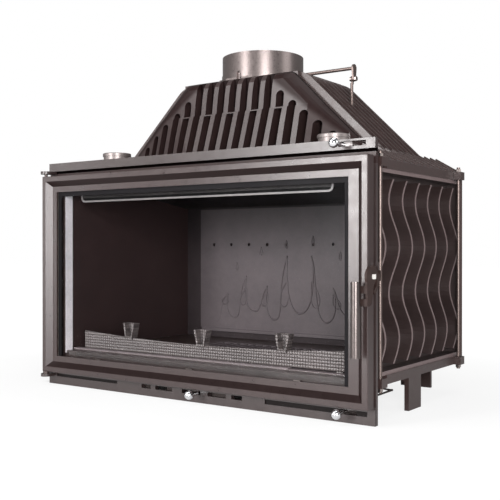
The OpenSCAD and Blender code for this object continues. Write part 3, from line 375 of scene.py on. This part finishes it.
# Ground sealing edge on the inner faces of the jambs
zone_tone(front, [(AX, 0.3905, 0.3926), (AY, -0.0012, 0.0215), (AZ, 0.08, 0.48)], (25, 38, 42))

# Door: the moulding's slopes get painted shade, except the left one, which faces the light and gets a painted
# highlight; they meet in mitres
door = mats["cast_iron_door"]
SLOPE_X, SLOPE_LOW, SLOPE_HIGH = 0.4375, 0.0458, 0.5022
nt = door.node_tree
door_x, _, door_z = position(nt, False)
from_left = math_node(nt, "ADD", door_x, SLOPE_X)
from_ends = math_node(nt, "MINIMUM", math_node(nt, "SUBTRACT", SLOPE_HIGH, door_z),
                      math_node(nt, "SUBTRACT", door_z, SLOPE_LOW))
left_slope = step(nt, math_node(nt, "SUBTRACT", from_ends, from_left), -0.0004, 0.0004)
slopes = zone(nt, (AX, None, SLOPE_X - 0.0003), (AY, -0.0252, -0.0138), (AZ, SLOPE_LOW, SLOPE_HIGH))
# Painted shade on the slopes, and a painted highlight on the left slope
tone(door, product(nt, slopes, math_node(nt, "SUBTRACT", 1.0, left_slope)), (0.45, 0.42, 0.42), 0.12)
tone(door, product(nt, slopes, left_slope), (1.5, 1.8, 1.9))

# Hood front: painted shade on the smooth parts above the slots, which turn away from the light, and in the
# slots' depths
hood = mats["hood_iron"]
nt = hood.node_tree
hood_x, _, hood_z = position(nt)
above = math_node(nt, "ADD", hood_z, product(nt, hood_x, 0.76))
tone(hood, product(nt, step(nt, above, 0.795, 0.815), step(nt, hood_x, 0.08, 0.12)), (0.5, 0.40, 0.40), 0.12)
zone_tone(hood, [(AY, 0.1826, None)], (0.3, 0.26, 0.26), 0.05)

# Side plates: a painted highlight brightens the ribs' outer edges
zone_tone(mats["side_iron"], [(AX, 0.4374, None)], (4.5, 5.2, 5.4), 0.7)

# Deflector: painted shade, very dark below its grey band and lighter on the band, so that the rolled rim stands
# out light as a painted highlight
DEFLECTOR_FACE = (AY, 0.0172, None)
zone_tone(mats["deflector_iron"], [DEFLECTOR_FACE, (AZ, None, 0.4605)], (0.02, 0.02, 0.02), 0.05)
zone_tone(mats["deflector_iron"], [DEFLECTOR_FACE, (AZ, 0.4605, None)], (0.16, 0.15, 0.15), 0.2)

# Fire back: painted shade, darker towards the top, and in the holes and on the set-back border
fire = mats["fire_side"]
tone(fire, step(fire.node_tree, position(fire.node_tree)[AZ], 0.25, 0.46), (0.45, 0.45, 0.45))
zone_tone(fire, [(AY, 0.4604, None)], (0.4, 0.38, 0.38), 0.2)


# Nodes with a material of their own; all others take the one that the record names
OWN = {
    "woven_iron": ["log_guard"],
    "baffle_iron": ["smoke_baffle"],
    "deflector_iron": ["air_deflector"],
    "lever_iron": ["handle_lever"],
    "pivot_steel": ["handle_pivot"],
    "dark_pin": ["hinge_pins", "hinge_washers"],
    "hood_iron": ["hood_front"],
    "side_iron": ["side_plate_left", "side_plate_right"],
    "control_iron": ["control_plate"],
    "plain_rod": ["tie_rods", "damper_shaft", "damper_crank", "drop_rod"],
    "cap_iron": ["cap_left", "cap_right"],
    "liner_iron": ["liner_left", "liner_right"],
    "sill_iron": ["sill_left", "sill_right"],
    "sooted_steel": ["air_wire", "centre_air_slide", "right_air_slide", "ash_pan"],
    "fire_side": ["fire_back", "grate"],
}
material_of = {s["node"]: s["material_slot"] for s in frame["record"]["subparts"]}
material_of.update({node: name for name, group in OWN.items() for node in group})
for node, obj in nodes.items():
    obj.data.materials.clear()
    obj.data.materials.append(mats[material_of[node]])


# Soft edges on the castings, so that they catch the light

def soften(name, width, angle=35, segments=2):
    b = nodes[name].modifiers.new("edges", "BEVEL")
    b.width = width
    b.segments = segments
    b.limit_method = "ANGLE"
    b.angle_limit = math.radians(angle)
    b.harden_normals = False
    b.use_clamp_overlap = True


soften("door_frame", 0.0022, 30, 3)
for name in ["front_frame", "top_plate", "base_plate", "hood", "hood_front", "log_guard", "back_plate",
             "side_leg_left", "side_leg_right", "rear_leg_left", "rear_leg_right", "handle_lever", "fire_back",
             "sill_left", "sill_right", "ash_box"]:
    soften(name, 0.0008)
for name in ["side_plate_left", "side_plate_right"]:
    soften(name, 0.001, 60)


# Fire back: a relief of plain flame tongues, laid out by formula and the same on both sides of the middle

RELIEF_Y = 0.4600  # face of the raised panel
RELIEF_BACK = RELIEF_Y + 0.0004  # the lines' backs lie just inside the panel
TUBE_SIDES = 6


def tube(verts, faces, path, r, closed):
    """Adds a tube along a path in the plane of the relief, with a flat back and thin open ends."""
    n = len(path)
    base = len(verts)
    for i, p in enumerate(path):
        a = path[(i - 1) % n] if closed or i > 0 else p
        b = path[(i + 1) % n] if closed or i < n - 1 else p
        along = (b - a).normalized()
        side = Vector((along.z, 0, -along.x))
        taper = 1.0 if closed else max(0.12, min(1.0, math.sin(math.pi * i / (n - 1)) ** 0.5 * 1.1))
        for j in range(TUBE_SIDES):
            t = 2 * math.pi * j / TUBE_SIDES
            q = p + side * (math.cos(t) * r * taper) + Vector((0, -math.sin(t) * r * taper, 0))
            q.y = min(q.y, RELIEF_BACK)
            verts.append(q)
    for i in range(n if closed else n - 1):
        here, there = base + i * TUBE_SIDES, base + (i + 1) % n * TUBE_SIDES
        for j in range(TUBE_SIDES):
            k = (j + 1) % TUBE_SIDES
            faces.append((here + j, here + k, there + k, there + j))


def bezier(p0, p1, p2, p3):
    """Points of a cubic curve from p0 up to, but without, p3."""
    points = []
    for k in range(CURVE_POINTS):
        t = k / CURVE_POINTS
        a, b, c, d = (1 - t) ** 3, 3 * t * (1 - t) ** 2, 3 * t * t * (1 - t), t ** 3
        points.append(tuple(a * u + b * v + c * w + d * q for u, v, w, q in zip(p0, p1, p2, p3)))
    return points


CURVE_POINTS, DROP_POINTS, SPARK_POINTS = 14, 28, 18
EDGE_R, DROP_R, SPARK_R = 0.0023, 0.0018, 0.0016
END_X, END_Z = 0.280, 0.130  # where the tongues' outline ends
ROOT_Z, ROOT_DOWN, ROOT_UP = 0.150, 0.006, 0.014  # the outline's dips lie in turn below and above ROOT_Z
LEAN = 0.010  # how far the tips lean towards the middle
half_tips = [(0.048, 0.318), (0.112, 0.236), (0.182, 0.262), (0.245, 0.215)]
tips = [(-x, z) for x, z in reversed(half_tips)] + half_tips

verts, faces, edge = [], [], []
for i, (tip_x, tip_z) in enumerate(tips):
    lean = LEAN if tip_x < 0 else -LEAN
    left = -END_X if i == 0 else (tips[i - 1][0] + tip_x) / 2
    right = END_X if i == len(tips) - 1 else (tip_x + tips[i + 1][0]) / 2
    low_left = ROOT_Z - ROOT_DOWN if i % 2 else ROOT_Z + ROOT_UP
    low_right = ROOT_Z + ROOT_UP if i % 2 else ROOT_Z - ROOT_DOWN
    if i == 0:
        low_left = END_Z
    if i == len(tips) - 1:
        low_right = END_Z
    w = right - left
    h = tip_z - ROOT_Z
    top = (tip_x + lean, tip_z)
    edge += bezier((left, low_left), (left + 0.42 * w, low_left),
                   (top[0] - 2.4 * lean - 0.16 * w, tip_z - 0.55 * h), top)
    edge += bezier(top, (top[0] - 1.2 * lean + 0.05 * w, tip_z - 0.40 * h),
                   (right - 0.42 * w, low_right), (right, low_right))
    # A drop inside each tongue
    drop = []
    for k in range(DROP_POINTS):
        t = 2 * math.pi * k / DROP_POINTS
        up = (1 - math.cos(t)) / 2
        half = 0.20 * w * math.sin(t) * (1 - 0.75 * up ** 1.5)
        drop.append(Vector((tip_x - 0.2 * lean + half + lean * up * up * 1.2, RELIEF_Y,
                            ROOT_Z + 0.030 + 0.42 * h * up)))
    tube(verts, faces, drop, DROP_R, True)
edge.append((END_X, END_Z))
tube(verts, faces, [Vector((x, RELIEF_Y, z)) for x, z in edge], EDGE_R, False)
# Sparks above the tongues
for i in range(6):
    u = (i - 2.5) / 2.5
    spark_x, spark_z = 0.205 * u, 0.352 - 0.075 * abs(u) + (0.012 if i % 2 else 0)
    spark = []
    for k in range(SPARK_POINTS):
        t = 2 * math.pi * k / SPARK_POINTS
        up = (1 - math.cos(t)) / 2
        spark.append(Vector((spark_x + 0.0052 * math.sin(t) * (1 - 0.8 * up), RELIEF_Y, spark_z + 0.021 * up)))
    tube(verts, faces, spark, SPARK_R, True)

me = bpy.data.meshes.new("flame_relief")
me.from_pydata([tuple(v) for v in verts], [], faces)
me.update()
me.materials.append(fire)
for p in me.polygons:
    p.use_smooth = True
relief = bpy.data.objects.new("flame_relief", me)
bpy.context.scene.collection.objects.link(relief)
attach(relief, "firebox")


# Camera, from the photograph's perspective

PICTURE_PX, FOCAL_PX, SENSOR_MM = 500, 841.03, 36.0
YAW, PITCH = 0.6125, -0.0029
cam_data = bpy.data.cameras.new("camera")
cam_data.sensor_width = SENSOR_MM
cam_data.lens = FOCAL_PX / PICTURE_PX * SENSOR_MM
cam_data.clip_start = 0.05
cam_data.clip_end = 50
cam = bpy.data.objects.new("camera", cam_data)
bpy.context.scene.collection.objects.link(cam)
look = Vector((-math.sin(YAW) * math.cos(PITCH), math.cos(YAW) * math.cos(PITCH), math.sin(PITCH)))
cam.location = (1.17368, -1.43843, 0.33943)
cam.rotation_mode = "QUATERNION"
cam.rotation_quaternion = look.to_track_quat("-Z", "Y")
bpy.context.scene.camera = cam


# Floor: white far out, pale with the shadow near the part

FLOOR_R, FLOOR_Z = 12.0, -0.0006
WHITE = (1, 1, 1, 1)


def seen_directly(nt):
    lp = nt.nodes.new("ShaderNodeLightPath")
    return math_node(nt, "MAXIMUM", lp.outputs["Is Camera Ray"], lp.outputs["Is Transmission Ray"])


me = bpy.data.meshes.new("floor")
me.from_pydata([(-FLOOR_R, -FLOOR_R, FLOOR_Z), (FLOOR_R, -FLOOR_R, FLOOR_Z), (FLOOR_R, FLOOR_R, FLOOR_Z),
                (-FLOOR_R, FLOOR_R, FLOOR_Z)], [], [(0, 1, 2, 3)])
floor = bpy.data.objects.new("floor", me)
bpy.context.scene.collection.objects.link(floor)
floor_mat, nt, bsdf = new_material("floor")
c = mapped(nt)
nt.links.new(ramp(nt, noise(nt, c, 3.0, 2.0), [(0.3, grey(0.70)), (0.7, grey(0.74))]), bsdf.inputs["Base Color"])
bsdf.inputs["Roughness"].default_value = 0.9
glow = nt.nodes.new("ShaderNodeEmission")
glow.inputs[0].default_value = WHITE
glow.inputs[1].default_value = 1.06
from_middle = nt.nodes.new("ShaderNodeVectorMath")
from_middle.operation = "LENGTH"
nt.links.new(c, from_middle.inputs[0])
far = step(nt, from_middle.outputs["Value"], 0.6, 1.6, 0.78, 1.0)
# The floor right behind the skirt keeps its full shadow, since it is seen through the air windows
floor_x, floor_y, _ = position(nt, False)
behind_skirt = product(nt, step(nt, floor_x, -0.5, -0.44), step(nt, floor_x, 0.36, 0.26),
                       step(nt, floor_y, 0.0, 0.02), step(nt, floor_y, 0.27, 0.19))
share = product(nt, seen_directly(nt), far, math_node(nt, "SUBTRACT", 1.0, behind_skirt))
nt.links.new(mix_shader(nt, share, bsdf.outputs[0], glow.outputs[0]), of_type(nt, "OUTPUT_MATERIAL").inputs[0])
me.materials.append(floor_mat)


# World: white where it is seen directly, and a weaker soft fill as a light

FILL = 0.24
world = bpy.data.worlds.new("world")
bpy.context.scene.world = world
world.use_nodes = True
nt = world.node_tree
nt.nodes.clear()
bg = nt.nodes.new("ShaderNodeBackground")
bg.inputs[0].default_value = WHITE
nt.links.new(math_node(nt, "ADD", product(nt, seen_directly(nt), 1 - FILL), FILL), bg.inputs[1])
nt.links.new(bg.outputs[0], nt.nodes.new("ShaderNodeOutputWorld").inputs[0])


# Lights: place, target, width and height, power in watts

LIGHTS = {
    "front_softbox": ((-0.85, -2.7, 0.75), (0.2, 0.0, 0.3), (0.7, 1.1), 56),
    "key_softbox": ((-0.9, -1.9, 2.1), (0.0, 0.1, 0.2), (1.5, 1.2), 34),
    "top_softbox": ((0.3, 0.2, 2.6), (0, 0.2, 0.4), (2.0, 1.4), 18),
    "side_softbox": ((2.6, 0.9, 1.2), (0.45, 0.3, 0.3), (1.2, 1.6), 14),
    "left_strip": ((-2.6, -1.9, 0.45), (-0.45, 0.0, 0.3), (0.35, 1.5), 9),
    "right_softbox": ((1.9, -2.0, 0.7), (0.2, 0.1, 0.3), (1.0, 1.2), 80),
}
for name, (place, target, size, power) in LIGHTS.items():
    light = bpy.data.lights.new(name, "AREA")
    light.shape = "RECTANGLE"
    light.size, light.size_y = size
    light.energy = power
    lamp = bpy.data.objects.new(name, light)
    bpy.context.scene.collection.objects.link(lamp)
    lamp.location = place
    lamp.rotation_mode = "QUATERNION"
    lamp.rotation_quaternion = (Vector(target) - Vector(place)).to_track_quat("-Z", "Y")

bpy.context.scene.view_settings.view_transform = "Standard"
